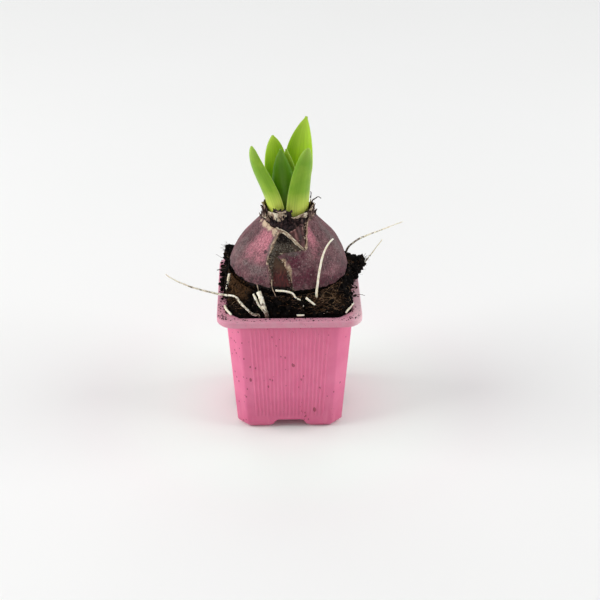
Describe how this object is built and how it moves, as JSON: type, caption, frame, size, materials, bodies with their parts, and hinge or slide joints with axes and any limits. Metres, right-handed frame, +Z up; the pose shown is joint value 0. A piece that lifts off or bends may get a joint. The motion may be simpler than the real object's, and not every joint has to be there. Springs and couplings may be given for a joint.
{
  "type": "potted hyacinth plant",
  "caption": "Sprouting hyacinth bulb with short thick leaves and loose roots, in a small square ribbed nursery pot of soil.",
  "frame": {"origin": "on the floor under the middle of the pot", "axes": "+Z up, -Y towards the front of the plant, +X to its right as seen from the front"},
  "size_m": [0.1182, 0.07, 0.1534],
  "materials": {
    "pot_plastic": "satin pink moulded plastic",
    "soil": "matt moist peat",
    "bulb_skin": "papery purple tunic with a silvery sheen",
    "leaf": "satin fleshy leaf",
    "bud": "satin green bud",
    "root": "matt cream root"
  },
  "bodies": {
    "root": {"pot": "pot_plastic", "soil": "soil", "bulb": "bulb_skin", "leaf_front_left": "leaf", "leaf_front_right": "leaf", "leaf_back_right": "leaf", "leaf_back_left": "leaf", "leaf_inner_front": "leaf", "leaf_inner_back": "leaf", "flower_bud": "bud", "root_left_long": "root", "root_right_long": "root", "root_right_thin": "root", "root_upright": "root", "root_fork": "root", "root_trailing": "root", "root_middle": "root", "root_left_short": "root", "root_front_left": "root", "root_front_right": "root", "root_small_front": "root", "root_small_right": "root"}
  },
  "joints": []
}
